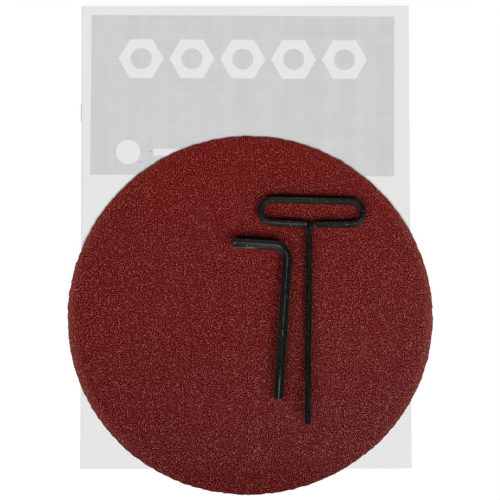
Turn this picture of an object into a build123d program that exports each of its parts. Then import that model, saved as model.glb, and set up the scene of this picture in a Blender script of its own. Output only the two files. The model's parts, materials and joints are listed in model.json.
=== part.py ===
from build123d import *
import os
from math import cos, radians, sin, sqrt, tan

# Accessory kit of a belt and disc sander, laid out flat: a stapled manual, a self-adhesive sanding disc
# lying on it, and two hexagon keys lying on the disc. Millimetres, +Z up, the manual's spine towards -X
# and its head towards +Y. The origin is on the bench, under the middle of the whole layout.

# Manual: sheets folded once, nested in one another and stapled through the fold
PAGE_WIDTH = 209.5
PAGE_HEIGHT = 297.0
PAPER = 0.1
INNER_SHEETS = 7
CREASE_SLIT = 0.06

# Staples: flat wire, crown outside the spine, legs clinched inside the middle fold
STAPLE_WIDE = 0.5
STAPLE_THICK = 0.4
STAPLE_CROWN = 12.0
STAPLE_CLINCH = 4.5
STAPLE_BEND = 0.3
STAPLE_INSET = 69.0
STAPLE_ROOM = 0.1
HOLE_ROOM = 0.03

# Sanding disc: layers from the bench side up, and its place from the middle of the manual
DISC_DIAMETER = 230.0
LINER = 0.1
ADHESIVE = 0.06
CLOTH = 0.34
GRAIN = 0.25
DISC_RIGHT = 2.55
DISC_DROP = 50.7

# Hexagon bar that both keys are bent from
BAR_EDGE = 0.15
END_BEVEL = 30.0
END_FACE = 0.92
CUT_PAST = 0.1

# L key: overall lengths, how far its bend closes past a right angle, and the corner of its axis from
# the middle of the disc
L_FLATS = 6.0
L_LONG = 100.3
L_SHORT = 38.35
L_BEND = 9.0
L_CLOSED = 0.4
L_TURN = -3.4
L_CORNER = (24.55, 43.5)

# Loop key: the shank bends into a flat loop handle that comes back to the shank, a little out of square
T_FLATS = 4.0
T_BEND = 5.0
T_TURN = -1.5
T_CORNER = (37.9, 57.2)
LOOP_WIDTH = 69.0
LOOP_RISE = 15.6
LOOP_OFFSET = 1.4
LOOP_SAG = 2.0
LOOP_GAP = 0.3
SHANK = 127.2
SHANK_SKEW = 0.8
SHANK_BOW = 70.0
SHANK_LIFT = 5.0
SHANK_TIP = 12.0

# The manual: every fold is a half circle about one line, so the leaves lie face to face
core = STAPLE_WIDE / 2 + STAPLE_ROOM
spine = core + (INNER_SHEETS + 1) * PAPER
book_x = -DISC_RIGHT
book_y = (DISC_DIAMETER / 2 + DISC_DROP - PAGE_HEIGHT / 2) / 2
book_left = book_x - PAGE_WIDTH / 2
book_right = book_x + PAGE_WIDTH / 2
book_top = 2 * spine
fold_x = book_left + spine

# The disc lies on the manual and the keys lie on the disc
disc_x = book_x + DISC_RIGHT
disc_y = book_y - DISC_DROP
disc_top = book_top + LINER + ADHESIVE + CLOTH + GRAIN


def folded_outline(radius):
    """Outline of everything inside one fold: a half round at the spine and straight leaves."""
    leaves = Pos((fold_x + book_right) / 2, spine) * Rectangle(book_right - fold_x, 2 * radius)
    return leaves + Pos(fold_x, spine) * Circle(radius)


def page_block(profile):
    """A profile seen from the foot of the manual, drawn out to the page height."""
    return Pos(0, book_y, 0) * extrude(Plane.XZ * profile, PAGE_HEIGHT / 2, both=True)


def staple_middles():
    reach = PAGE_HEIGHT / 2 - STAPLE_INSET
    return [book_y - reach, book_y + reach]


def staple_leg():
    """Distance of a staple's legs from its middle."""
    return (STAPLE_CROWN - STAPLE_THICK) / 2


def pierced(sheet):
    """A folded sheet with a slot for each staple leg."""
    slot = Box(2 * spine, STAPLE_THICK + 2 * HOLE_ROOM, STAPLE_WIDE + 2 * HOLE_ROOM)
    for middle in staple_middles():
        for side in (-1, 1):
            sheet -= Pos(fold_x - spine, middle + side * staple_leg(), spine) * slot
    return sheet


def inner_sheet(number):
    """One folded sheet. Number 1 lies against the cover."""
    outside = spine - number * PAPER
    return pierced(page_block(folded_outline(outside) - folded_outline(outside - PAPER)))


def back_cover():
    """The cover sheet's lower leaf and its whole fold, up to the crease of the front leaf."""
    profile = folded_outline(spine) - folded_outline(spine - PAPER)
    upper = Pos(fold_x, spine) * Rectangle(PAGE_WIDTH, spine, align=Align.MIN)
    return pierced(page_block(profile - upper))


def front_cover():
    """The cover sheet's upper leaf, from the crease to the fore edge."""
    length = book_right - fold_x - CREASE_SLIT
    corner = Pos(book_right, book_top)
    return page_block(corner * Rectangle(length, PAPER, align=Align.MAX))


def staples():
    """Two staples, each one flat wire bent four times. The clinched legs bear on the inner fold."""
    inside = fold_x - sqrt(core**2 - (STAPLE_WIDE / 2) ** 2) + STAPLE_THICK / 2
    outside = book_left - STAPLE_THICK / 2
    leg = staple_leg()
    tip = leg - STAPLE_CLINCH
    corners = [(inside, tip), (inside, leg), (outside, leg)]
    corners += [(x, -y) for x, y in reversed(corners)]
    wire = FilletPolyline(*corners, radius=STAPLE_BEND)
    start = Plane(origin=wire @ 0, x_dir=(0, 0, 1), z_dir=wire % 0)
    staple = sweep(start * Rectangle(STAPLE_WIDE, STAPLE_THICK), wire)
    return Compound([Pos(0, middle, spine) * staple for middle in staple_middles()])


def disc_layer(base, thickness):
    return Pos(disc_x, disc_y, base) * extrude(Circle(DISC_DIAMETER / 2), thickness)


def bar_height(flats):
    """Height of a bar's axis when it lies on one blunted edge."""
    return flats / sqrt(3) - BAR_EDGE / 2


def end_cutter(path, end, flats):
    """Ring that turns the corners off the bar's end to a bevel, a little past the end face."""
    slope = tan(radians(END_BEVEL))
    face = END_FACE * flats / 2
    outside = flats / sqrt(3)
    corners = [
        (face - CUT_PAST / slope, CUT_PAST),
        (outside, CUT_PAST),
        (outside, (face - outside) * slope),
    ]
    ring = revolve(Plane.XZ * make_face(Polyline(*corners, close=True)), Axis.Z)
    outward = (path % end) * (1 if end else -1)
    return Plane(origin=path @ end, z_dir=outward) * ring


def hexagon_bar(path, flats):
    """Hexagon bar with blunted edges, along a path that starts level, one edge straight up."""
    hexagon = RegularPolygon(flats / 2, 6, major_radius=False)
    section = chamfer(hexagon.vertices(), BAR_EDGE)
    bar = sweep(Plane(origin=path @ 0, x_dir=(0, 0, 1), z_dir=path % 0) * section, path)
    for end in (0, 1):
        bar -= end_cutter(path, end, flats)
    return bar


def lying_on_disc(bar, flats, corner, turn):
    place = Pos(disc_x + corner[0], disc_y + corner[1], disc_top + bar_height(flats))
    return place * Rot(0, 0, turn) * bar


def l_hex_key():
    short = L_SHORT - L_FLATS / 2
    long = L_LONG - L_FLATS / 2
    closed = radians(L_CLOSED)
    long_end = (-long * sin(closed), -long * cos(closed))
    path = FilletPolyline((-short, 0), (0, 0), long_end, radius=L_BEND)
    return lying_on_disc(hexagon_bar(path, L_FLATS), L_FLATS, L_CORNER, L_TURN)


def loop_end_radius(reach):
    """Radius of the half round that joins the top run to a lower run sloping by the sag."""
    sag = radians(LOOP_SAG)
    return (LOOP_RISE * cos(sag) - reach * sin(sag)) / (1 + cos(sag) - sin(sag))


def on_shank(distance, rise=0):
    """A point of the loop key's shank, by its distance from the loop and its rise above it."""
    skew = radians(SHANK_SKEW)
    return (distance * sin(skew), -distance * cos(skew), rise)


def loop_path():
    """Axis of the loop key, from the cut end beside the shank, round the loop and down the shank."""
    sag = radians(LOOP_SAG)
    half = (LOOP_WIDTH - T_FLATS) / 2
    left = half - LOOP_OFFSET
    right = half + LOOP_OFFSET
    left_radius = loop_end_radius(left)
    right_radius = loop_end_radius(right)
    sweep_angle = LOOP_SAG - 180

    # The cut end stops short of the shank's bend
    half_bar = T_FLATS / 2
    cut = T_BEND - 2 * sqrt(T_BEND * half_bar) - LOOP_GAP
    lower_left = (
        -(left - left_radius) - left_radius * sin(sag),
        LOOP_RISE - left_radius - left_radius * cos(sag),
    )
    run_left = Line((cut, -cut * tan(sag)), lower_left)
    end_left = JernArc(run_left @ 1, run_left % 1, left_radius, sweep_angle)
    run_top = Line(end_left @ 1, (right - right_radius, LOOP_RISE))
    end_right = JernArc(run_top @ 1, run_top % 1, right_radius, sweep_angle)

    # Shank: a bend down from the loop, a straight stretch, a slight upward bow and a straight tip
    shank_turn = 90 - LOOP_SAG + SHANK_SKEW
    tangent = T_BEND * tan(radians(shank_turn) / 2)
    run_right = Line(end_right @ 1, (tangent * cos(sag), tangent * sin(sag)))
    bend = JernArc(run_right @ 1, run_right % 1, T_BEND, shank_turn)
    lift = radians(SHANK_LIFT)
    bow_end = SHANK - SHANK_TIP * cos(lift)
    bow_rise = SHANK_BOW * tan(lift / 2)
    straight = Line(bend @ 1, on_shank(bow_end - SHANK_BOW))
    bow = TangentArc(straight @ 1, on_shank(bow_end, bow_rise), tangent=straight % 1)
    tip = Line(bow @ 1, on_shank(SHANK, bow_rise + SHANK_TIP * sin(lift)))
    return Wire([run_left, end_left, run_top, end_right, run_right, bend, straight, bow, tip])


def loop_hex_key():
    return lying_on_disc(hexagon_bar(loop_path(), T_FLATS), T_FLATS, T_CORNER, T_TURN)


parts = {"front_cover": front_cover(), "back_cover": back_cover(), "staples": staples()}
for number in range(1, INNER_SHEETS + 1):
    parts[f"sheet_{number}"] = inner_sheet(number)

layer_base = book_top
for name, thickness in (
    ("release_liner", LINER),
    ("adhesive_film", ADHESIVE),
    ("cloth_backing", CLOTH),
    ("abrasive_coat", GRAIN),
):
    parts[name] = disc_layer(layer_base, thickness)
    layer_base += thickness

parts["l_hex_key"] = l_hex_key()
parts["loop_hex_key"] = loop_hex_key()

os.makedirs("parts", exist_ok=True)
for name, solid in parts.items():
    export_step(solid, f"parts/{name}.step")
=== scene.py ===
import json
from math import atan2, cos, pi, radians, sin, sqrt, tan

import bmesh
import bpy
from mathutils import Matrix, Vector, noise


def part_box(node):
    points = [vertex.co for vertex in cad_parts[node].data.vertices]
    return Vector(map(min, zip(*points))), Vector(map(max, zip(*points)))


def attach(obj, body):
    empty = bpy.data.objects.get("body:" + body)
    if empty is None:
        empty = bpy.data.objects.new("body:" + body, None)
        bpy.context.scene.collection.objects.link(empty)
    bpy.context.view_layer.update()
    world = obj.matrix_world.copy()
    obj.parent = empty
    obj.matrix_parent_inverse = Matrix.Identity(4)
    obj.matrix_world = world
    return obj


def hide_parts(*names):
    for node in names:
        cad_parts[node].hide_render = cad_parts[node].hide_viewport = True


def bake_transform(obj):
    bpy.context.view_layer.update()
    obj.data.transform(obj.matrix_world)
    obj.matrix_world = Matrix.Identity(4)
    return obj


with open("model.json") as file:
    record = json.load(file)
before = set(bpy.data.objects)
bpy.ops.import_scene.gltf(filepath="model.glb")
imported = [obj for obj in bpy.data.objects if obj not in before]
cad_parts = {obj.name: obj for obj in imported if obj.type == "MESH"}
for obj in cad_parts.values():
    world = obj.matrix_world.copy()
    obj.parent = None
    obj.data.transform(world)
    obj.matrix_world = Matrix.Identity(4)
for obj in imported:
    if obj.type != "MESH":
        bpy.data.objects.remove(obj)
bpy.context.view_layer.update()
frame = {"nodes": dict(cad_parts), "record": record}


# Inner sheets of the manual: plain office paper, folded once, nested in one another and trimmed on
# three sides after stapling. Their faces are hidden, and the cut edges show as a stack of fine lines.
SHEET_THICK = 0.0001
SHEET_EVEN = 5000
PAGE_SHADE = (0.70, 0.695, 0.68)
PAGE_WHITE = (0.84, 0.84, 0.83)
FIBRE = 0.0006
FIBRE_DEEP = 0.00002


class Nodes:
    """Short calls for the nodes of one tree."""

    def __init__(self, tree):
        self.tree = tree

    def feed(self, socket, value):
        """Gives a socket a plain value or the output of a node."""
        if isinstance(value, bpy.types.NodeSocket):
            self.tree.links.new(value, socket)
        else:
            socket.default_value = value

    def node(self, kind, *values, **settings):
        """Adds a node with its settings, and feeds its inputs in their order."""
        made = self.tree.nodes.new(kind)
        for name, value in settings.items():
            setattr(made, name, value)
        for socket, value in zip(made.inputs, values):
            self.feed(socket, value)
        return made


class Finish(Nodes):
    def __init__(self, name, **values):
        self.material = bpy.data.materials.new(name)
        self.material.use_nodes = True
        super().__init__(self.material.node_tree)
        self.shader = self.tree.nodes["Principled BSDF"]
        self.place = self.node("ShaderNodeTexCoord").outputs["Object"]
        self.set(**values)

    def set(self, **values):
        """Gives the surface shader plain values or the outputs of nodes, by socket name."""
        for name, value in values.items():
            self.feed(self.shader.inputs[name.replace("_", " ")], value)

    def local(self, middle=(0, 0, 0), turn=0.0, size=(1, 1, 1)):
        """Coordinates about a middle, turned about Z, and measured in a size along each axis."""
        values = (self.place, middle, (0, 0, turn), size)
        return self.node("ShaderNodeMapping", *values, vector_type="TEXTURE").outputs[0]

    def noise(self, size, detail=2.0, stretch=(1, 1, 1), shift=(0, 0, 0)):
        """Cloudy tone from 0 to 1, with spots of about that size, drawn out along the axes."""
        place = self.local(shift, size=[size * share for share in stretch])
        made = self.node("ShaderNodeTexNoise", place)
        self.feed(made.inputs["Scale"], 1.0)
        self.feed(made.inputs["Detail"], detail)
        return made.outputs["Fac"]

    def ramp(self, value, *stops):
        """Colour that follows a value through stops of position and colour."""
        made = self.node("ShaderNodeValToRGB", value)
        elements = made.color_ramp.elements
        elements[0].position = stops[0][0]
        elements[1].position = stops[-1][0]
        for position, _ in stops[1:-1]:
            elements.new(position)
        for element, (_, colour) in zip(elements, stops):
            element.color = (*colour, 1.0)
        return made.outputs["Color"]

    def bump(self, height, depth):
        """Raises the surface by a height from 0 to 1, over any relief that is there already."""
        made = self.node("ShaderNodeBump")
        made.inputs["Distance"].default_value = depth
        self.feed(made.inputs["Height"], height)
        earlier = self.shader.inputs["Normal"].links
        if earlier:
            self.feed(made.inputs["Normal"], earlier[0].from_socket)
        self.set(Normal=made.outputs["Normal"])


def coat(piece, finish):
    """Gives a piece one finish all over."""
    piece.data.materials.clear()
    piece.data.materials.append(finish.material)


page_paper = Finish("page_paper", Roughness=0.9, Specular_IOR_Level=0.2)
one_sheet = page_paper.noise(SHEET_THICK, detail=0.0, stretch=(SHEET_EVEN, SHEET_EVEN, 1))
page_paper.set(Base_Color=page_paper.ramp(one_sheet, (0.3, PAGE_SHADE), (0.6, PAGE_WHITE)))
page_paper.bump(page_paper.noise(FIBRE, detail=3.0), FIBRE_DEEP)
for name, node in frame["nodes"].items():
    if name.startswith("sheet_"):
        coat(node, page_paper)


# Cover of the manual: one sheet of the same paper, folded round the others, with a grey panel printed
# on the front by a laser printer, which leaves faint streaks. The fold is one curve from leaf to leaf.
LEAF_COLUMNS = 24
LEAF_ROWS = 32
FOLD_STEPS = 14
FOLD_SMOOTH = radians(30)
CREASE_STEP = 0.0004
CREASE_STEPS = 3
PAPER_TONE = (0.79, 0.79, 0.79)
PAPER_TONE_LOW = (0.775, 0.775, 0.775)
# Paler along the fold: crease whitening, with painted light over the shade of the rounded fold
FOLD_CREASE_AND_LIGHT_TONE = (0.93, 0.93, 0.93)
FOLD_STRIP = 0.0004
PANEL_SIZE = (0.1938, 0.1033)
PANEL_MIDDLE = (-0.0043, 0.09912, 0)
PANEL_TURN = radians(-0.43)
PANEL_TONE = (0.635, 0.635, 0.635)
PANEL_TONE_LOW = (0.585, 0.585, 0.585)
PRINT_EDGE = 0.00015
BAND_WIDE = 0.006
BAND_LONG = 80
STREAK_WIDE = 0.0012
STREAK_LONG = 90
MOTTLE = 0.012
TONER_THIN = 0.9
TONER_THICK = 2.1
NUT_COUNT = 5
NUT_FLATS = 0.025
NUT_BORE = 0.0135
NUT_PITCH = 0.0325
NUT_ROW = 0.0235
NUT_SLANT = radians(30)
DOT_MIDDLE = (-0.0728, -0.0369)
DOT_RADIUS = 0.0078
BAR_MIDDLE = (-0.0285, -0.0369)
BAR_SIZE = (0.056, 0.0044)
FLECKS = ((-0.0583, -0.0364), (-0.0646, -0.0432))
FLECK_RADIUS = 0.0004
FLECK_TONE = (0.16, 0.16, 0.16)


def start(kind, name, **values):
    """Adds one primitive as a new piece, alone in the selection, with its place in its mesh."""
    bpy.ops.object.select_all(action="DESELECT")
    getattr(bpy.ops.mesh, f"primitive_{kind}_add")(**values)
    piece = bpy.context.object
    piece.name = piece.data.name = name
    bpy.ops.object.transform_apply(location=True, rotation=True, scale=True)
    bpy.ops.object.mode_set(mode="EDIT")
    return piece


def pick(piece, test, parts="verts"):
    """In edit mode, selects only the vertices or faces whose middle passes the test."""
    mesh = bmesh.from_edit_mesh(piece.data)
    bpy.ops.mesh.select_mode(type="FACE" if parts == "faces" else "VERT")
    bpy.ops.mesh.select_all(action="DESELECT")
    for part in getattr(mesh, parts):
        middle = part.calc_center_median() if parts == "faces" else part.co
        part.select_set(bool(test(middle)))
    mesh.select_flush_mode()
    bmesh.update_edit_mesh(piece.data)


def draw_out(step, count=1):
    """Extrudes the selected end in equal steps."""
    for _ in range(count):
        bpy.ops.mesh.extrude_region_move(TRANSFORM_OT_translate={"value": step})


def swing(turn, centre, axis, steps):
    """Extrudes the selected end round an axis. The operator counts its turn the other way."""
    bpy.ops.mesh.spin(steps=steps, angle=-turn, center=centre, axis=axis)


def end_edit():
    """Merges doubles, points the faces outwards and leaves edit mode."""
    bpy.ops.mesh.select_all(action="SELECT")
    bpy.ops.mesh.remove_doubles(threshold=1e-7)
    bpy.ops.mesh.normals_make_consistent(inside=False)
    bpy.ops.object.mode_set(mode="OBJECT")


def apply_modifier(piece, kind, **settings):
    """Adds a modifier with its settings and applies it."""
    made = piece.modifiers.new(kind.lower(), kind)
    for name, value in settings.items():
        setattr(made, name, value)
    bpy.ops.object.modifier_apply(modifier=made.name)


cover_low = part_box("back_cover")[0]
cover_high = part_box("front_cover")[1]
book_thick = cover_high.z - cover_low.z
fold_x = cover_low.x + book_thick / 2
leaf_wide = cover_high.x - fold_x
page_high = cover_high.y - cover_low.y
book_y = (cover_low.y + cover_high.y) / 2
leaf_middle = (fold_x + leaf_wide / 2, book_y, cover_low.z + SHEET_THICK / 2)

cover = start("grid", "cover", x_subdivisions=LEAF_COLUMNS, y_subdivisions=LEAF_ROWS, size=1,
              location=leaf_middle)
bpy.ops.transform.resize(value=(leaf_wide, page_high, 1), center_override=leaf_middle)
pick(cover, lambda at: at.x < fold_x + CREASE_STEP / 2)
swing(pi, (fold_x, book_y, book_thick / 2), (0, 1, 0), FOLD_STEPS)
draw_out((CREASE_STEP, 0, 0), CREASE_STEPS)
leaf_left = leaf_wide - CREASE_STEP * CREASE_STEPS
draw_out((leaf_left / LEAF_COLUMNS, 0, 0), LEAF_COLUMNS)
end_edit()
apply_modifier(cover, "SOLIDIFY", thickness=SHEET_THICK, offset=0)
bpy.ops.object.shade_smooth_by_angle(angle=FOLD_SMOOTH)


def reckon(nodes, operation, *values):
    """Works out one value from others."""
    return nodes.node("ShaderNodeMath", *values, operation=operation).outputs[0]


def between(nodes, value, low, high):
    """A value brought from a range to 0 at its low end and 1 at its high end."""
    return nodes.node("ShaderNodeMapRange", value, low, high).outputs[0]


def apart(nodes, value, middle=0.0):
    """How far a value is from a middle, to either side."""
    return reckon(nodes, "ABSOLUTE", reckon(nodes, "SUBTRACT", value, middle))


def axes(nodes, place):
    """The X, Y and Z of a place, by name."""
    return nodes.node("ShaderNodeSeparateXYZ", place).outputs


def from_origin(nodes, place):
    """How far a place is from the origin of its coordinates."""
    return nodes.node("ShaderNodeVectorMath", place, operation="LENGTH").outputs["Value"]


def mix(nodes, share, first, second, **settings):
    """Goes from a first colour to a second by a share."""
    made = nodes.node("ShaderNodeMix", share, data_type="RGBA", **settings)
    for socket, colour in zip(made.inputs[6:8], (first, second)):
        plain = not isinstance(colour, bpy.types.NodeSocket)
        nodes.feed(socket, (*colour, 1.0) if plain else colour)
    return made.outputs[2]


def lay(finish, share, colour, **settings):
    """Lays a colour over the one that a finish has so far, by a share."""
    earlier = finish.shader.inputs["Base Color"].links[0].from_socket
    finish.set(Base_Color=mix(finish, share, earlier, colour, **settings))


# The paper, paler along the fold: whitened in the crease, and with painted light that lifts the shade on
# the rounded fold
cover_paper = Finish("cover_paper", Roughness=0.85, Specular_IOR_Level=0.25)
fibres = cover_paper.noise(FIBRE, detail=3.0)
cover_paper.set(Base_Color=cover_paper.ramp(fibres, (0.3, PAPER_TONE_LOW), (0.7, PAPER_TONE)))
cover_at = axes(cover_paper, cover_paper.place)
from_fold = reckon(cover_paper, "SUBTRACT", cover_at["X"], cover_low.x)
lay(cover_paper, between(cover_paper, from_fold, 2 * FOLD_STRIP, FOLD_STRIP), FOLD_CREASE_AND_LIGHT_TONE)
cover_paper.bump(fibres, FIBRE_DEEP)

# The panel's toner, uneven along and across the way through the printer
bands = cover_paper.noise(BAND_WIDE, detail=1.0, stretch=(1, BAND_LONG, 1))
streaks = cover_paper.noise(STREAK_WIDE, stretch=(STREAK_LONG, 1, 1))
mottle = cover_paper.noise(MOTTLE, detail=3.0)
toner = reckon(cover_paper, "ADD", reckon(cover_paper, "ADD", bands, streaks), mottle)
toner = between(cover_paper, toner, TONER_THIN, TONER_THICK)
panel_tone = cover_paper.ramp(toner, (0.2, PANEL_TONE_LOW), (0.8, PANEL_TONE))

panel_at = axes(cover_paper, cover_paper.local(PANEL_MIDDLE, PANEL_TURN))
across = panel_at["X"]
along = panel_at["Y"]


def printed(distance, reach):
    """1 where a distance is within its reach, with the slightly soft edge of toner."""
    return between(cover_paper, distance, reach + PRINT_EDGE, reach - PRINT_EDGE)


def printed_block(middle, size):
    """1 in a rectangle about a middle in the panel."""
    columns = printed(apart(cover_paper, across, middle[0]), size[0] / 2)
    rows = printed(apart(cover_paper, along, middle[1]), size[1] / 2)
    return reckon(cover_paper, "MULTIPLY", columns, rows)


def printed_round(x, y, radius):
    """1 in a circle, by the offsets from its middle."""
    offset = cover_paper.node("ShaderNodeCombineXYZ", x, y).outputs[0]
    return printed(from_origin(cover_paper, offset), radius)


def printed_dot(middle, radius):
    """1 in a circle about a middle in the panel."""
    right = reckon(cover_paper, "SUBTRACT", across, middle[0])
    rise = reckon(cover_paper, "SUBTRACT", along, middle[1])
    return printed_round(right, rise, radius)


# Row of plain hexagon nuts, one plain dot and one plain bar, left white in the panel
nut_x = apart(cover_paper, reckon(cover_paper, "WRAP", across, -NUT_PITCH / 2, NUT_PITCH / 2))
nut_y = apart(cover_paper, along, NUT_ROW)
slant = reckon(cover_paper, "ADD", reckon(cover_paper, "MULTIPLY", nut_x, cos(NUT_SLANT)),
               reckon(cover_paper, "MULTIPLY", nut_y, sin(NUT_SLANT)))
hexagon = printed(reckon(cover_paper, "MAXIMUM", nut_y, slant), NUT_FLATS / 2)
nut = reckon(cover_paper, "SUBTRACT", hexagon, printed_round(nut_x, nut_y, NUT_BORE / 2))
in_row = printed(apart(cover_paper, across), NUT_COUNT * NUT_PITCH / 2)
nuts = reckon(cover_paper, "MULTIPLY", nut, in_row)
dot = printed_dot(DOT_MIDDLE, DOT_RADIUS)
bar = printed_block(BAR_MIDDLE, BAR_SIZE)
white = reckon(cover_paper, "MAXIMUM", reckon(cover_paper, "MAXIMUM", nuts, dot), bar)
panel = reckon(cover_paper, "MULTIPLY", printed_block((0, 0), PANEL_SIZE),
               reckon(cover_paper, "SUBTRACT", 1.0, white))

# Two flecks of spilt toner, and the print on the front only
fleck = reckon(cover_paper, "MAXIMUM", *[printed_dot(middle, FLECK_RADIUS) for middle in FLECKS])
panel_tone = mix(cover_paper, fleck, panel_tone, FLECK_TONE)
on_front = reckon(cover_paper, "GREATER_THAN", cover_at["Z"], cover_high.z - SHEET_THICK / 2)
lay(cover_paper, reckon(cover_paper, "MULTIPLY", panel, on_front), panel_tone)
coat(cover, cover_paper)
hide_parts("front_cover", "back_cover")
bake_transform(cover)


# Staples: two lengths of flattened zinc-coated wire, driven through the fold from outside, with their
# points turned in against the middle sheet.
STAPLE_WIDE = 0.0005
STAPLE_THICK = 0.0004
STAPLE_CROWN = 0.012
STAPLE_CLINCH = 0.0045
STAPLE_BEND = 0.0003
STAPLE_EDGE = 0.00012
STAPLE_SMOOTH = radians(40)
STAPLE_STEPS = 5
CLINCH_STEPS = 3
LEG_STEPS = 2
CROWN_STEPS = 6
EDGE_STEPS = 3
ZINC_DULL = (0.44, 0.44, 0.45)
ZINC_BRIGHT = (0.62, 0.62, 0.63)
ZINC_ROUGH = (0.8, 0.3)
TARNISH = 0.0011
DRAWN_LINE = 0.0002
DRAWN_LONG = 8
DRAWN_DEEP = 0.000004

up = Vector((0, 0, 1))


def run(tip, heading, length, count=1):
    """Draws the end of a bar straight on, and gives where it has come to."""
    draw_out(heading * (length / count), count)
    return tip + heading * length, heading


def bend(tip, heading, radius, turn, axis, steps):
    """Draws the end of a bar round a bend, to the left for a positive turn with the axis upwards."""
    side = axis.cross(heading) * (1 if turn > 0 else -1)
    centre = tip + side * radius
    swing(turn, centre, axis, steps)
    turned = Vector(heading)
    turned.rotate(Matrix.Rotation(turn, 3, axis))
    spoke = tip - centre
    spoke.rotate(Matrix.Rotation(turn, 3, axis))
    return centre + spoke, turned


def bend_staples():
    """Both staples: one wire bent from point to point, and its copy further along the fold."""
    low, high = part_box("staples")
    crown_x = low.x + STAPLE_THICK / 2
    clinch_x = high.x - STAPLE_THICK / 2
    leg_long = clinch_x - crown_x - 2 * STAPLE_BEND
    crown_long = STAPLE_CROWN - STAPLE_THICK - 2 * STAPLE_BEND
    clinch_long = STAPLE_CLINCH - STAPLE_BEND
    lower = low.y + STAPLE_CROWN / 2
    upper = high.y - STAPLE_CROWN / 2
    clinch_y = lower + (STAPLE_CROWN - STAPLE_THICK) / 2 - STAPLE_CLINCH
    tip = Vector((clinch_x, clinch_y, (low.z + high.z) / 2))
    heading = Vector((0, 1, 0))
    wire = start("plane", "staple_wires", size=1, location=tip, rotation=(pi / 2, 0, 0))
    bpy.ops.transform.resize(value=(STAPLE_THICK, 1, STAPLE_WIDE), center_override=tip)
    bpy.ops.mesh.bevel(offset=STAPLE_EDGE, segments=EDGE_STEPS, affect="VERTICES")
    bpy.ops.mesh.select_all(action="SELECT")
    tip, heading = run(tip, heading, clinch_long, CLINCH_STEPS)
    leg = (leg_long, LEG_STEPS)
    for length, count in (leg, (crown_long, CROWN_STEPS), leg, (clinch_long, CLINCH_STEPS)):
        tip, heading = bend(tip, heading, STAPLE_BEND, pi / 2, up, STAPLE_STEPS)
        tip, heading = run(tip, heading, length, count)
    bpy.ops.mesh.select_all(action="SELECT")
    bpy.ops.mesh.duplicate_move(TRANSFORM_OT_translate={"value": (0, upper - lower, 0)})
    end_edit()
    bpy.ops.object.shade_smooth_by_angle(angle=STAPLE_SMOOTH)
    return wire


def spread(nodes, tone, first, last):
    """A tone from 0 to 1 brought to a range of values."""
    return nodes.node("ShaderNodeMapRange", tone, 0.0, 1.0, first, last).outputs[0]


staple_wires = bend_staples()
zinc = Finish("staple_wire", Metallic=1.0)
tarnish = zinc.noise(TARNISH, detail=3.0)
zinc.set(Base_Color=zinc.ramp(tarnish, (0.35, ZINC_DULL), (0.7, ZINC_BRIGHT)))
zinc.set(Roughness=spread(zinc, tarnish, *ZINC_ROUGH))
zinc.bump(zinc.noise(DRAWN_LINE, stretch=(1, DRAWN_LONG, 1)), DRAWN_DEEP)
coat(staple_wires, zinc)
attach(staple_wires, "booklet")
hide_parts("staples")


# Release liner: brown kraft paper with a silicone face, cut out together with the disc. It keeps the
# adhesive clean and is peeled off before the disc goes on its plate.
RIM_POINTS = 960
LAYER_ROOM = 0.000002
RIM_PROUD = 0.0001
RIM_DROP = 0.00015
RIM_OVAL = 0.0008
RIM_OVAL_AT = radians(8)
RIM_CORNERS = 0.00045
RIM_CORNERS_AT = radians(-19)
RIM_BITE = 0.0005
RIM_BITE_LONG = 0.0042
RIM_FRAY = 0.0003
RIM_FRAY_LONG = 0.0014
KRAFT_DARK = (0.46, 0.37, 0.25)
KRAFT_PALE = (0.60, 0.50, 0.36)
KRAFT_ROUGH = (0.182, 0.636)
PULP = 0.0012
PULP_LONG = 3
PULP_DEEP = 0.00002

disc_low, disc_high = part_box("abrasive_coat")
disc_middle = Vector(((disc_low.x + disc_high.x) / 2, (disc_low.y + disc_high.y) / 2, 0))
disc_radius = (disc_high.x - disc_low.x) / 2


def to_rim(point):
    """The place on the rim that a point lies towards, at its height: a little out of round, and ragged."""
    spoke = Vector((point.x - disc_middle.x, point.y - disc_middle.y, 0)).normalized()
    around = atan2(spoke.y, spoke.x)
    off_centre = -RIM_DROP * spoke.y
    oval = RIM_OVAL * cos(2 * (around - RIM_OVAL_AT))
    corners = RIM_CORNERS * cos(3 * (around - RIM_CORNERS_AT))
    bite = RIM_BITE * noise.noise(spoke * (disc_radius / RIM_BITE_LONG))
    fray = RIM_FRAY * noise.noise(spoke * (disc_radius / RIM_FRAY_LONG))
    reach = disc_radius + RIM_PROUD + off_centre + oval + corners + bite + fray
    return disc_middle + spoke * reach + Vector((0, 0, point.z))


def cut_layer(name, node):
    """One layer of the disc: a round blank with the ragged rim, a hair thinner than its node."""
    low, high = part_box(node)
    layer = start("circle", name, vertices=RIM_POINTS, radius=disc_radius, fill_type="NGON",
                  location=(disc_middle.x, disc_middle.y, low.z))
    mesh = bmesh.from_edit_mesh(layer.data)
    for point in mesh.verts:
        point.co = to_rim(point.co)
    bmesh.update_edit_mesh(layer.data)
    bpy.ops.mesh.select_all(action="SELECT")
    draw_out((0, 0, high.z - low.z - LAYER_ROOM))
    end_edit()
    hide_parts(node)
    return layer


kraft = Finish("liner_kraft", Specular_IOR_Level=0.4)
pulp = kraft.noise(PULP, detail=4.0, stretch=(1, PULP_LONG, 1))
kraft.set(Base_Color=kraft.ramp(pulp, (0.3, KRAFT_DARK), (0.7, KRAFT_PALE)))
kraft.set(Roughness=spread(kraft, pulp, *KRAFT_ROUGH))
kraft.bump(pulp, PULP_DEEP)
liner_sheet = cut_layer("liner_sheet", "release_liner")
coat(liner_sheet, kraft)
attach(liner_sheet, "liner")


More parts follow.
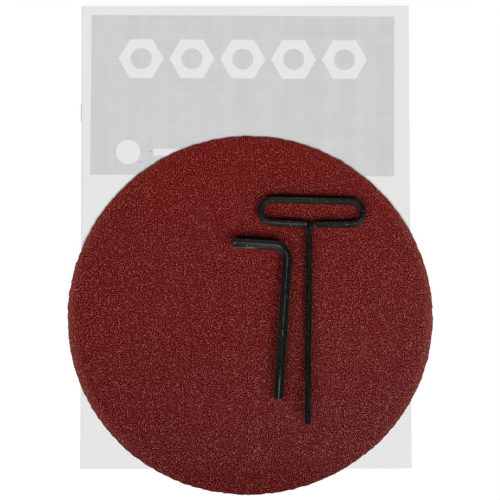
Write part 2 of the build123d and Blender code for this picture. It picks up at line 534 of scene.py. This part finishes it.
# Adhesive film: a clear, faintly yellow layer of pressure-sensitive glue on the back of the cloth,
# laid on in one pass, so it has the fine ripple of the coating roller.
GLUE_CLEAR = (0.70, 0.60, 0.42)
GLUE_THICK = (0.55, 0.44, 0.27)
GLUE_ROUGH = (0.2, 0.533)
RIPPLE = 0.0025
RIPPLE_LONG = 12
RIPPLE_DEEP = 0.00004

glue = Finish("adhesive_glue", Transmission_Weight=0.35, Coat_Weight=0.5)
ripple = glue.noise(RIPPLE, stretch=(1, RIPPLE_LONG, 1))
glue.set(Base_Color=glue.ramp(ripple, (0.3, GLUE_THICK), (0.7, GLUE_CLEAR)))
glue.set(Roughness=spread(glue, ripple, *GLUE_ROUGH))
glue.bump(ripple, RIPPLE_DEEP)
glue_film = cut_layer("glue_film", "adhesive_film")
coat(glue_film, glue)
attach(glue_film, "sanding_disc")


# Cloth backing: heavy cotton twill, sized stiff and dyed red-brown by the resin. It shows as a thin
# dark line under the grain at the rim, with the cut ends of its threads.
THREAD = 0.00055
SLUB_LONG = 14
SLUB_FULL = 0.8
WEAVE_DEEP = 0.00012
CLOTH_DARK = (0.045, 0.012, 0.010)
CLOTH_PALE = (0.115, 0.032, 0.026)

twill = Finish("backing_twill", Roughness=0.9, Specular_IOR_Level=0.2)
cloth_at = axes(twill, twill.place)
warp = reckon(twill, "MULTIPLY", cloth_at["X"], pi / THREAD)
weft = reckon(twill, "MULTIPLY", cloth_at["Y"], pi / THREAD)
rib = reckon(twill, "ABSOLUTE", reckon(twill, "SINE", reckon(twill, "ADD", warp, weft)))
thread = reckon(twill, "ABSOLUTE", reckon(twill, "SINE", warp))
slub = twill.noise(THREAD, stretch=(1, SLUB_LONG, 1))
weave = reckon(twill, "MULTIPLY", reckon(twill, "MULTIPLY", rib, thread),
               between(twill, slub, 0.0, SLUB_FULL))
twill.set(Base_Color=twill.ramp(weave, (0.0, CLOTH_DARK), (0.9, CLOTH_PALE)))
twill.bump(weave, WEAVE_DEEP)
cloth = cut_layer("cloth", "cloth_backing")
coat(cloth, twill)
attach(cloth, "sanding_disc")


# Abrasive coat: red-brown fused alumina grains, strewn on a coat of red resin and locked by a second
# one. The grains stand proud unevenly, and the die that cuts the disc leaves a slightly ragged rim.
GRAIN_CELL = 0.00077
GRAIN_ROOM = 0.002
GRAIN_RELIEF = 0.00005
GRAIN_SEED = 7
GRAIN_PITCH = 0.00075
GRAIN_TIP = 0.10
GRAIN_FOOT = 0.28
GRAIN_GROWN = 0.58
GRAIN_GAP = 0.40
GRAIN_PIT = 0.80
GRAIN_EVEN = 0.40
GRAIN_HIGH = 0.0001
GRAIN_GLOSS = 0.010
GRAIN_ROUGH = (0.304, 0.739)
GROWN_RARE = 12.0
PALE_RARE = 2.0
SPLINTER = 0.00028
SPLINTER_DARK = -0.6
SPLINTER_PALE = 0.9
SPLINTER_HIGH = 0.00005
PIT_SHADE = (0.053, 0.0010, 0.0006)
RESIN_RED = (0.1105, 0.0016, 0.0012)
TIP_PINK_AND_GLINT = (0.775, 0.2940, 0.2760)
MEAN_TONE = (0.140, 0.0165, 0.0140)
HEAD_CALM = 0.15
CALM_FROM = 0.2
CALM_TO = 0.8
HEAD_TINT = (1.10, 0.93, 0.82)
MIDDLE_TINT = (1.0, 1.0, 1.0)
FOOT_TINT = (0.85, 0.93, 1.00)
# Painted shade along the disc's edge at the foot
FOOT_EDGE_SHADE = (0.71, 0.62, 0.64)
CLEAN_TINT = (1.0, 0.95, 0.94)
DUSTY_TINT = (1.11, 1.38, 1.38)
# Painted light: a paler band along the rim at both sides
RIM_SIDE_LIGHT = (0.057, 0.0225, 0.0160)
RIM_SIDE_LIGHT_FROM = 0.955


def strew_grain():
    """The grain as one skin: a fine grid cut round, roughened, and closed down to the cloth."""
    middle = disc_middle + Vector((0, 0, disc_high.z))
    side = 2 * (disc_radius + GRAIN_ROOM)
    cells = round(side / GRAIN_CELL)
    skin = start("grid", "grain_coat", x_subdivisions=cells, y_subdivisions=cells, size=side,
                 location=middle)

    def past_rim(at):
        return (at - middle).length - (to_rim(at) - middle).length

    pick(skin, lambda at: past_rim(at) > GRAIN_CELL / 2)
    bpy.ops.mesh.delete(type="VERT")
    bpy.ops.mesh.select_all(action="SELECT")
    bpy.ops.mesh.delete_loose()

    # The outermost points go to the rim
    mesh = bmesh.from_edit_mesh(skin.data)
    for point in mesh.verts:
        if past_rim(point.co) > -GRAIN_CELL / 2:
            rim = to_rim(point.co)
            point.co = rim + (middle - rim).normalized() * GRAIN_RELIEF
    bmesh.update_edit_mesh(skin.data)

    bpy.ops.mesh.select_all(action="SELECT")
    bpy.ops.transform.vertex_random(offset=GRAIN_RELIEF, uniform=1.0, normal=0.0, seed=GRAIN_SEED)
    top = max(point.co.z for point in bmesh.from_edit_mesh(skin.data).verts)
    bpy.ops.transform.translate(value=(0, 0, disc_high.z - top))
    bpy.ops.mesh.select_mode(type="EDGE")
    bpy.ops.mesh.select_all(action="DESELECT")
    bpy.ops.mesh.select_non_manifold(use_wire=False, use_multi_face=False, use_non_contiguous=False,
                                     use_verts=False)
    draw_out((0, 0, disc_low.z - disc_high.z))
    bpy.ops.transform.resize(value=(1, 1, 0), center_override=(middle.x, middle.y, disc_low.z))
    bpy.ops.mesh.edge_face_add()
    end_edit()
    return skin


def scatter(finish, size, **settings):
    """Random cells of about that size: how far off the middle of each is, and its own chances."""
    made = finish.node("ShaderNodeTexVoronoi", finish.local(size=[size] * 3), **settings)
    finish.feed(made.inputs["Scale"], 1.0)
    chances = finish.node("ShaderNodeSeparateColor", made.outputs["Color"]).outputs
    return made.outputs["Distance"], chances


# Pale tips of the grains, partly their own colour and partly painted glints, a few of them large, over
# resin darkened with painted shade in the pits between them
grain_coat = strew_grain()
abrasive = Finish("abrasive_grain", Specular_IOR_Level=GRAIN_GLOSS)
from_grain, chance = scatter(abrasive, GRAIN_PITCH, voronoi_dimensions="2D")
grown = reckon(abrasive, "POWER", chance[0], GROWN_RARE)
foot = spread(abrasive, grown, GRAIN_FOOT, GRAIN_GROWN)
peak = between(abrasive, from_grain, foot, GRAIN_TIP)
pale = spread(abrasive, reckon(abrasive, "POWER", chance[0], PALE_RARE), GRAIN_EVEN, 1.0)
splinter = abrasive.noise(SPLINTER)
broken = between(abrasive, splinter, SPLINTER_DARK, SPLINTER_PALE)
tip = reckon(abrasive, "MULTIPLY", reckon(abrasive, "MULTIPLY", peak, pale), broken)
# Painted shade: the resin goes darker towards the pits between the grains
resin = abrasive.ramp(from_grain, (GRAIN_GAP, RESIN_RED), (GRAIN_PIT, PIT_SHADE))
abrasive.set(Base_Color=resin, Roughness=spread(abrasive, chance[2], *GRAIN_ROUGH))
# Painted glints: pale pink laid over the grain tips
lay(abrasive, tip, TIP_PINK_AND_GLINT)
abrasive.bump(peak, GRAIN_HIGH)
abrasive.bump(splinter, SPLINTER_HIGH)

# The grain is calmer at the head, the colour drifts from brick there to plum at the foot and then darker in
# a last band at the foot's edge, which is painted shade of the disc drooping past the manual. Dust lies
# towards the lower right, and the rim at both sides is paler with painted light from the side lamps
on_disc = abrasive.local(disc_middle, size=[disc_radius] * 3)
disc_at = axes(abrasive, on_disc)
calm = between(abrasive, disc_at["Y"], CALM_FROM, CALM_TO)
lay(abrasive, reckon(abrasive, "MULTIPLY", calm, HEAD_CALM), MEAN_TONE)
footward = abrasive.ramp(between(abrasive, disc_at["Y"], 1.0, -1.0), (0.0, HEAD_TINT),
                         (0.5, MIDDLE_TINT), (0.88, FOOT_TINT), (0.96, FOOT_EDGE_SHADE))
to_corner = reckon(abrasive, "SUBTRACT", disc_at["X"], disc_at["Y"])
dusty = abrasive.ramp(between(abrasive, to_corner, -sqrt(2), sqrt(2)), (0.0, CLEAN_TINT),
                      (0.5, MIDDLE_TINT), (1.0, DUSTY_TINT))
for drift in (footward, dusty):
    lay(abrasive, 1.0, drift, blend_type="MULTIPLY")
# Painted light on the rim, strongest at the left and right sides
aside = reckon(abrasive, "MULTIPLY", disc_at["X"], disc_at["X"])
at_rim = between(abrasive, from_origin(abrasive, on_disc), RIM_SIDE_LIGHT_FROM, 1.0)
lay(abrasive, reckon(abrasive, "MULTIPLY", at_rim, aside), RIM_SIDE_LIGHT, blend_type="ADD")
coat(grain_coat, abrasive)
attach(grain_coat, "sanding_disc")
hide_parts("abrasive_coat")


# L key: a length of drawn hexagon bar, sawn off, its ends turned and bent once while hot, then blacked
# in oil. Its edges are painted brighter, partly as wear and partly as a painted highlight along the ridge,
# and a smear of rust has dried on the short arm.
L_FLATS = 0.006
L_BEND = 0.009
L_STEP = 0.003
BEND_STEPS = 20
EDGE_SOFT = 0.00028
EDGE_SHARE = 0.55
END_DEEP = 0.0003
END_FACE = 0.92
BAR_SMOOTH = radians(35)
BLACK = (0.0004, 0.0006, 0.0003)
BLACK_PALE = (0.0016, 0.0019, 0.0014)
BLACK_GLOSS = 0.058
BLACK_ROUGH = (0.24, 0.64)
CLOUD = 0.006
SKIN = 0.0008
SKIN_DEEP = 0.00002
RUBBED_AND_HIGHLIT = (0.038, 0.041, 0.038)
RUB_PATCH = 0.004
PATCH_FROM = 0.3
PATCH_FULL = 0.75
WORN_FROM = 0.7
WORN_FULL = 0.92
PEPPER = 0.0008
PEPPER_SPARSE = 12.0
L_RIDGE_HIGHLIGHT = 0.6
L_CAST = (0.97, 1.0, 0.97, 1.0)
L_SPECK_TONE = (0.026, 0.0265, 0.0250)
MARK_TEAR = 0.0009
MARK_DEEP = 0.004
MARK_CORE = 0.7
MARK_END = 1.5
# Painted light among the marks: the thumb smear is partly painted sheen on the front flat, the haze is
# painted sheen on the back flat, and shine and glint are painted highlights
THUMB_SMEAR_AND_SHEEN_TONE = (0.018, 0.0190, 0.0178)
BACK_FLAT_SHEEN_TONE = (0.0075, 0.0078, 0.0072)
OIL_TONE = (0.0052, 0.0056, 0.0054)
RUST_TONE = (0.150, 0.125, 0.078)
LINE_TONE = (0.055, 0.056, 0.053)
RUB_TONE = (0.080, 0.082, 0.078)
PAINTED_SHINE_TONE = (0.12, 0.12, 0.115)
PAINTED_GLINT_TONE = (0.16, 0.16, 0.15)
NICK_TONE = (0.21, 0.21, 0.20)

# Marks on the arms, smears on the flats and rubs on the edges: the way in from the arm's end, the way to
# the right as seen from there, half the length, half the width and the tone of each. Rust, nicks and rubs
# are marks of use, with painted highlight on the ridge, and the shine, glint, haze and thumb tones paint
# highlights and sheen.
SHORT_SMEARS_AND_SHEEN = (
    (0.0190, -0.0017, 0.0240, 0.0015, BACK_FLAT_SHEEN_TONE),
    (0.0200, 0.0012, 0.0170, 0.0022, THUMB_SMEAR_AND_SHEEN_TONE),
    (0.0012, 0.0005, 0.0018, 0.0006, LINE_TONE),
    (0.0095, -0.0026, 0.0012, 0.0008, PAINTED_SHINE_TONE),
    (0.0113, 0.0026, 0.0052, 0.0008, RUST_TONE),
    (0.0093, 0.0013, 0.0008, 0.0006, RUST_TONE),
)
SHORT_RUBS_AND_HIGHLIGHTS = (
    (0.0200, 0.0000, 0.0220, 0.0016, RUB_TONE),
    (0.0010, 0.0000, 0.0020, 0.0016, RUB_TONE),
    (0.0040, 0.0030, 0.0120, 0.0012, PAINTED_SHINE_TONE),
    (0.0050, -0.0030, 0.0100, 0.0012, RUBBED_AND_HIGHLIT),
    (0.0095, -0.0030, 0.0014, 0.0012, NICK_TONE),
    (0.0291, 0.0006, 0.0033, 0.0017, PAINTED_SHINE_TONE),
    (0.0298, 0.0040, 0.0026, 0.0016, RUB_TONE),
    (0.0320, 0.0050, 0.0030, 0.0030, RUBBED_AND_HIGHLIT),
)
LONG_SMEARS = (
    (0.0480, -0.0017, 0.0620, 0.0015, OIL_TONE),
)
LONG_RUBS_AND_HIGHLIGHTS = (
    (0.0060, 0.0000, 0.0130, 0.0016, PAINTED_SHINE_TONE),
    (0.0405, 0.0000, 0.0009, 0.0016, PAINTED_GLINT_TONE),
    (0.0425, 0.0000, 0.0009, 0.0016, PAINTED_GLINT_TONE),
    (0.0500, 0.0000, 0.0060, 0.0016, LINE_TONE),
    (0.0562, 0.0000, 0.0010, 0.0016, RUB_TONE),
    (0.0615, 0.0000, 0.0060, 0.0016, LINE_TONE),
    (0.0705, 0.0000, 0.0009, 0.0016, PAINTED_SHINE_TONE),
    (0.0750, 0.0000, 0.0080, 0.0016, RUBBED_AND_HIGHLIT),
    (0.0880, 0.0000, 0.0110, 0.0016, LINE_TONE),
)

bar_ends = {mount["name"]: mount for mount in frame["record"]["mounts"]}


def end_of(name):
    """Where a bar ends, and which way its end faces."""
    return Vector(bar_ends[name]["pos_m"]), Vector(bar_ends[name]["axis"])


def bar_end(name, tip, heading, flats):
    """The first end of a hexagon bar: one face, an edge straight up, its corners softened and marked."""
    facing = Vector((0, -1)).angle_signed(heading.xy)
    bar = start("circle", name, vertices=6, radius=flats / sqrt(3), fill_type="NGON", location=tip,
                rotation=(heading.angle(up), 0, -facing))
    bpy.ops.mesh.subdivide(number_cuts=1)
    mesh = bmesh.from_edit_mesh(bar.data)
    worn = mesh.verts.layers.float.new("worn")
    for point in mesh.verts:
        point[worn] = float((point.co - tip).length > flats * EDGE_SHARE)
        point.select_set(bool(point[worn]))
    mesh.select_flush_mode()
    bmesh.update_edit_mesh(bar.data)
    bpy.ops.mesh.bevel(offset=EDGE_SOFT, segments=EDGE_STEPS, affect="VERTICES")
    bpy.ops.mesh.select_all(action="SELECT")
    return bar


def turn_end(bar, tip, outward, flats):
    """Turns the corners off an end: its face is drawn out a little and made round."""
    start_face = tip - outward * END_DEEP
    pick(bar, lambda at: (at - start_face).length < END_DEEP / 3, "faces")
    draw_out(outward * END_DEEP)
    mesh = bmesh.from_edit_mesh(bar.data)
    for point in mesh.verts:
        if point.select:
            spoke = point.co - tip
            spoke -= outward * spoke.dot(outward)
            point.co = tip + spoke.normalized() * (END_FACE * flats / 2)
    bmesh.update_edit_mesh(bar.data)


def end_bar(bar):
    """Closes the edit and shades the flats flat and the softened edges round."""
    end_edit()
    bpy.ops.object.shade_smooth_by_angle(angle=BAR_SMOOTH)
    apply_modifier(bar, "WEIGHTED_NORMAL", keep_sharp=True)


def bend_l_key():
    """The bar from its short end to its long end, with a bend that closes a little past a right angle."""
    short_end, short_out = end_of("l_key_short_end")
    long_end, long_out = end_of("l_key_long_end")
    span = (long_end - short_end).xy
    tip = short_end - short_out * END_DEEP
    heading = -short_out
    opening = heading.xy.cross(long_out.xy)
    turn = -heading.xy.angle_signed(long_out.xy)
    tangent = L_BEND * tan(abs(turn) / 2)
    short_run = span.cross(long_out.xy) / opening - tangent - END_DEEP
    long_run = heading.xy.cross(span) / opening - tangent - END_DEEP
    bar = bar_end("l_key_bar", tip, heading, L_FLATS)
    tip, heading = run(tip, heading, short_run, round(short_run / L_STEP))
    tip, heading = bend(tip, heading, L_BEND, turn, up, BEND_STEPS)
    run(tip, heading, long_run, round(long_run / L_STEP))
    turn_end(bar, short_end, short_out, L_FLATS)
    turn_end(bar, long_end, long_out, L_FLATS)
    end_bar(bar)
    return bar


def edges_worn_and_highlit(finish):
    """1 along the edges of a bar, which wear bright first and carry the painted highlight of the ridge."""
    worn = finish.node("ShaderNodeAttribute", attribute_name="worn").outputs["Fac"]
    return between(finish, worn, WORN_FROM, WORN_FULL)


def ridge_height(node, flats):
    """Height of the edge that a lying hexagon bar turns straight up."""
    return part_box(node)[0].z + 2 * flats / sqrt(3)


def upper_flats(finish, node, flats):
    """1 on the two flats of a lying bar that face up, down to its side edges."""
    side_edge = ridge_height(node, flats) - flats / sqrt(12)
    height = axes(finish, finish.place)["Z"]
    return between(finish, height, side_edge - EDGE_SOFT, side_edge)


def blacked(name, ridge_share, cast):
    """Steel blacked in oil: dark and cloudy, and painted brighter along its edges, as wear with a painted
    highlight.
    """
    finish = Finish(name, Specular_IOR_Level=BLACK_GLOSS, Specular_Tint=cast)
    cloud = finish.noise(CLOUD, detail=4.0)
    oxide = finish.ramp(cloud, (0.35, BLACK), (0.7, BLACK_PALE))
    finish.set(Base_Color=oxide, Roughness=spread(finish, cloud, *BLACK_ROUGH))
    patchy = between(finish, finish.noise(RUB_PATCH, detail=3.0), PATCH_FROM, PATCH_FULL)
    edge_wear_and_highlight = reckon(finish, "MULTIPLY", edges_worn_and_highlit(finish), patchy)
    # Painted highlight along the ridge, laid together with the wear of the edges
    lay(finish, reckon(finish, "MULTIPLY", edge_wear_and_highlight, ridge_share), RUBBED_AND_HIGHLIT)
    finish.bump(finish.noise(SKIN, detail=3.0), SKIN_DEEP)
    return finish


def mark(finish, middle, turn, half_long, half_wide, tone, where):
    """Lays a long mark with torn edges over a finish, where the bar takes such marks."""
    reach = from_origin(finish, finish.local(middle, turn, (half_long, half_wide, MARK_DEEP)))
    torn = reckon(finish, "ADD", reach, finish.noise(MARK_TEAR, detail=3.0, shift=middle))
    lay(finish, reckon(finish, "MULTIPLY", between(finish, torn, MARK_END, MARK_CORE), where), tone)


def mark_arm(finish, end, marks, where):
    """Marks along the top of an arm, each by its distance in from the arm's end and to the right."""
    place, outward = end_of(end)
    turn = atan2(-outward.y, -outward.x)
    place.z = ridge_height("l_hex_key", L_FLATS)
    for inward, aside, *size_and_tone in marks:
        middle = place - outward * inward - outward.cross(up) * aside
        mark(finish, middle, turn, *size_and_tone, where)


def pepper(finish, tone):
    """Strews sparse specks of barer steel over a finish and its marks."""
    _, chance = scatter(finish, PEPPER)
    lay(finish, reckon(finish, "POWER", chance[0], PEPPER_SPARSE), tone, blend_type="ADD")


l_black = blacked("l_key_black", L_RIDGE_HIGHLIGHT, L_CAST)
l_top = upper_flats(l_black, "l_hex_key", L_FLATS)
l_edges = edges_worn_and_highlit(l_black)
mark_arm(l_black, "l_key_short_end", SHORT_SMEARS_AND_SHEEN, l_top)
mark_arm(l_black, "l_key_long_end", LONG_SMEARS, l_top)
mark_arm(l_black, "l_key_short_end", SHORT_RUBS_AND_HIGHLIGHTS, l_edges)
mark_arm(l_black, "l_key_long_end", LONG_RUBS_AND_HIGHLIGHTS, l_edges)
pepper(l_black, L_SPECK_TONE)

l_key_bar = bend_l_key()
coat(l_key_bar, l_black)
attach(l_key_bar, "l_key")
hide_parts("l_hex_key")


# Loop key: one longer, thinner length of the same bar. The shank turns aside into a flat loop handle
# that comes back to it with a cut end, and it is bowed up a little towards its tip.
LOOP_FLATS = 0.004
LOOP_WIDTH = 0.069
LOOP_RISE = 0.0156
LOOP_OFFSET = 0.0014
LOOP_SAG = radians(2.0)
LOOP_GAP = 0.0003
LOOP_STEP = 0.0025
LOOP_STEPS = 36
SHANK = 0.1272
SHANK_BEND = 0.005
SHANK_SKEW = radians(0.8)
SHANK_BOW = 0.070
SHANK_LIFT = radians(5.0)
SHANK_TIP = 0.012
BOW_STEPS = 24
TIP_STEPS = 4
LOOP_RIDGE_HIGHLIGHT = 0.3
LOOP_CAST = (1.0, 1.0, 0.86, 1.0)
LOOP_SPECK_TONE = (0.036, 0.0367, 0.0325)
# Painted sheen that lightens the top run and the lower left run of the handle
TOP_RUN_SHEEN_TONE = (0.0128, 0.0132, 0.0114)
LOWER_RUN_SHEEN_TONE = (0.013, 0.0135, 0.0115)

# Marks on the handle: the way across and above the corner where the shank leaves it, half the length,
# half the width and the tone of each. The broad smears on the top run and the lower left run are painted
# sheen, and the glint and shine spots are painted highlights.
LOOP_SMEARS_AND_SHEEN = (
    (0.0000, 0.0166, 0.0500, 0.0032, TOP_RUN_SHEEN_TONE),
    (-0.0140, 0.0006, 0.0190, 0.0022, LOWER_RUN_SHEEN_TONE),
    (-0.0118, -0.0007, 0.0007, 0.0006, PAINTED_GLINT_TONE),
    (-0.0136, 0.0015, 0.0008, 0.0006, PAINTED_GLINT_TONE),
    (-0.0017, 0.0004, 0.0012, 0.0009, NICK_TONE),
    (-0.0083, 0.0169, 0.0010, 0.0005, RUB_TONE),
    (-0.0047, 0.0171, 0.0010, 0.0005, RUB_TONE),
    (0.0014, 0.0161, 0.0008, 0.0005, RUB_TONE),
    (0.0035, 0.0158, 0.0007, 0.0005, RUB_TONE),
    (0.0109, 0.0152, 0.0007, 0.0005, RUB_TONE),
    (0.0183, 0.0170, 0.0006, 0.0005, RUB_TONE),
    (0.0190, 0.0154, 0.0007, 0.0005, RUB_TONE),
    (0.0243, 0.0163, 0.0006, 0.0005, RUST_TONE),
)
LOOP_RUBS_AND_HIGHLIGHTS = (
    (-0.0170, 0.0010, 0.0230, 0.0014, RUB_TONE),
    (-0.0075, 0.0003, 0.0060, 0.0014, PAINTED_SHINE_TONE),
    (-0.0300, 0.0035, 0.0050, 0.0040, RUBBED_AND_HIGHLIT),
    (0.0260, 0.0008, 0.0120, 0.0014, RUBBED_AND_HIGHLIT),
    (0.0238, 0.0007, 0.0013, 0.0014, NICK_TONE),
    (0.0315, 0.0035, 0.0050, 0.0040, RUBBED_AND_HIGHLIT),
)


def loop_end_radius(reach):
    """Radius of the half round that joins the top of the loop to a lower side sloping by the sag."""
    return (LOOP_RISE * cos(LOOP_SAG) - reach * sin(LOOP_SAG)) / (1 + cos(LOOP_SAG) - sin(LOOP_SAG))


def loop_side(reach, radius):
    """Length of a lower side of the loop, from the corner at the shank to the half round."""
    return (reach - radius * (1 - sin(LOOP_SAG))) / cos(LOOP_SAG)


def bend_loop_key():
    """The bar from the shank's tip, round the loop, to the cut end beside the shank."""
    shank_end, outward = end_of("loop_key_tip")
    half = (LOOP_WIDTH - LOOP_FLATS) / 2
    left = half - LOOP_OFFSET
    right = half + LOOP_OFFSET
    left_radius = loop_end_radius(left)
    right_radius = loop_end_radius(right)
    shank_turn = LOOP_SAG - SHANK_SKEW - pi / 2
    tangent = SHANK_BEND * tan(abs(shank_turn) / 2)
    straight = SHANK - SHANK_TIP * cos(SHANK_LIFT) - SHANK_BOW - tangent
    cut = 2 * sqrt(SHANK_BEND * LOOP_FLATS / 2) + LOOP_GAP - SHANK_BEND
    side_left = loop_side(left, left_radius) - cut / cos(LOOP_SAG)
    side_right = loop_side(right, right_radius) - tangent
    top = left - left_radius + right - right_radius
    aside = -outward.cross(up).normalized()

    tip = shank_end - outward * END_DEEP
    heading = -outward
    bar = bar_end("loop_key_bar", tip, heading, LOOP_FLATS)
    tip, heading = run(tip, heading, SHANK_TIP - END_DEEP, TIP_STEPS)
    tip, heading = bend(tip, heading, SHANK_BOW / sin(SHANK_LIFT), SHANK_LIFT, aside, BOW_STEPS)
    tip, heading = run(tip, heading, straight, round(straight / LOOP_STEP))
    tip, heading = bend(tip, heading, SHANK_BEND, shank_turn, up, BEND_STEPS)
    tip, heading = run(tip, heading, side_right, round(side_right / LOOP_STEP))
    tip, heading = bend(tip, heading, right_radius, pi - LOOP_SAG, up, LOOP_STEPS)
    tip, heading = run(tip, heading, top, round(top / LOOP_STEP))
    tip, heading = bend(tip, heading, left_radius, pi - LOOP_SAG, up, LOOP_STEPS)
    tip, heading = run(tip, heading, side_left - END_DEEP, round(side_left / LOOP_STEP))
    turn_end(bar, shank_end, outward, LOOP_FLATS)
    turn_end(bar, tip + heading * END_DEEP, heading, LOOP_FLATS)
    end_bar(bar)
    return bar


def mark_loop(finish, marks, where):
    """Marks on the handle, each by its place across and above the corner where the shank leaves it."""
    shank_end, outward = end_of("loop_key_tip")
    down = Vector((outward.x, outward.y, 0)).normalized()
    corner = shank_end - down * SHANK
    corner.z = ridge_height("loop_hex_key", LOOP_FLATS)
    turn = atan2(down.y, down.x) + pi / 2 - SHANK_SKEW
    to_loop = Matrix.Translation(corner) @ Matrix.Rotation(turn, 4, "Z")
    for right, rise, *size_and_tone in marks:
        mark(finish, to_loop @ Vector((right, rise, 0)), turn, *size_and_tone, where)


loop_black = blacked("loop_key_black", LOOP_RIDGE_HIGHLIGHT, LOOP_CAST)
mark_loop(loop_black, LOOP_SMEARS_AND_SHEEN, upper_flats(loop_black, "loop_hex_key", LOOP_FLATS))
mark_loop(loop_black, LOOP_RUBS_AND_HIGHLIGHTS, edges_worn_and_highlit(loop_black))
pepper(loop_black, LOOP_SPECK_TONE)

loop_key_bar = bend_loop_key()
coat(loop_key_bar, loop_black)
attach(loop_key_bar, "loop_key")
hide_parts("loop_hex_key")


# Table and light: a white table top, two soft lamps in front, to the left and the right, a weak strip
# behind that only shows as a sheen, a lamp below that shines through the table on the undersides, and a
# white tent that fills the shadows.
WHITE = (1.0, 1.0, 1.0, 1.0)
TABLE_SIZE = 6.0
TABLE_DROP = 0.0003
TABLE_CUTS = 3
TABLE_GLOW = 0.94
TABLE_WHITE = (0.07, 0.07, 0.07, 1.0)
TABLE_BOUNCE = (0.8, 0.8, 0.8, 1.0)
TENT_FILL = 0.03
TENT_SEEN = 1.0
LAMP_AWAY = 3.0
FRONT_HIGH = radians(36)
FRONT_ASIDE = radians(38)
FRONT_WIDE = radians(40)
LEFT_POWER = 2.22
RIGHT_POWER = 2.94
STRIP_HIGH = radians(23)
STRIP_WIDE = radians(30)
STRIP_POWER = 0.8
UNDER_WIDE = radians(60)
UNDER_POWER = 1.8


def in_sight(nodes):
    """1 for what the camera sees, straight or by way of gloss or glass, and 0 for other light."""
    rays = nodes.node("ShaderNodeLightPath").outputs
    straight = reckon(nodes, "MAXIMUM", rays["Is Camera Ray"], rays["Is Glossy Ray"])
    return reckon(nodes, "MAXIMUM", straight, rays["Is Transmission Ray"])


# The table looks white from above and keeps a faint shadow, and lets the lamp below shine through
table = start("plane", "table", size=TABLE_SIZE, location=(0, 0, -TABLE_DROP))
bpy.ops.mesh.subdivide(number_cuts=TABLE_CUTS)
bpy.ops.object.mode_set(mode="OBJECT")
table_top = Finish("table_white")
glow = table_top.node("ShaderNodeEmission", WHITE, TABLE_GLOW).outputs[0]
shaded = table_top.node("ShaderNodeBsdfDiffuse", TABLE_WHITE).outputs[0]
bright = table_top.node("ShaderNodeAddShader", glow, shaded).outputs[0]
bounce = table_top.node("ShaderNodeBsdfDiffuse", TABLE_BOUNCE).outputs[0]
from_above = table_top.node("ShaderNodeMixShader", in_sight(table_top), bounce, bright).outputs[0]
clear = table_top.node("ShaderNodeBsdfTransparent").outputs[0]
from_below = table_top.node("ShaderNodeNewGeometry").outputs["Backfacing"]
shadow_ray = table_top.node("ShaderNodeLightPath").outputs["Is Shadow Ray"]
let_through = reckon(table_top, "MAXIMUM", from_below, shadow_ray)
surface = table_top.node("ShaderNodeMixShader", let_through, from_above, clear).outputs[0]
table_top.feed(table_top.tree.nodes["Material Output"].inputs["Surface"], surface)
coat(table, table_top)

world = bpy.data.worlds.new("tent")
bpy.context.scene.world = world
world.use_nodes = True
tent = Nodes(world.node_tree)
backdrop = tent.tree.nodes["Background"].inputs
tent.feed(backdrop["Color"], WHITE)
tent.feed(backdrop["Strength"], spread(tent, in_sight(tent), TENT_FILL, TENT_SEEN))


def hang_lamp(aside, high, wide, power):
    toward = Vector((sin(aside) * cos(high), -cos(aside) * cos(high), sin(high)))
    facing = toward.to_track_quat("Z", "Y").to_euler()
    bpy.ops.object.light_add(type="SUN", location=toward * LAMP_AWAY, rotation=facing)
    lamp = bpy.context.object
    lamp.data.angle = wide
    lamp.data.energy = power
    return lamp


hang_lamp(-FRONT_ASIDE, FRONT_HIGH, FRONT_WIDE, LEFT_POWER)
hang_lamp(FRONT_ASIDE, FRONT_HIGH, FRONT_WIDE, RIGHT_POWER)
strip = hang_lamp(pi, STRIP_HIGH, STRIP_WIDE, STRIP_POWER)
strip.visible_diffuse = False
hang_lamp(0, -pi / 2, UNDER_WIDE, UNDER_POWER)


CAMERA_LEAN = radians(7.124)
CAMERA_ROLL = radians(-0.107)
CAMERA_AWAY = 2.7361
CAMERA_LENS = 309.5
CAMERA_REACH = 20
AIM = Vector((0.000243, -0.00014, 0))

back = Vector((0, -sin(CAMERA_LEAN), cos(CAMERA_LEAN)))
bpy.ops.object.camera_add(location=AIM + back * CAMERA_AWAY, rotation=(CAMERA_LEAN, 0, 0))
camera = bpy.context.object
camera.rotation_euler.rotate_axis("Z", CAMERA_ROLL)
camera.data.lens = CAMERA_LENS
camera.data.clip_end = CAMERA_REACH
bpy.context.scene.camera = camera
bpy.context.scene.view_settings.view_transform = "Standard"
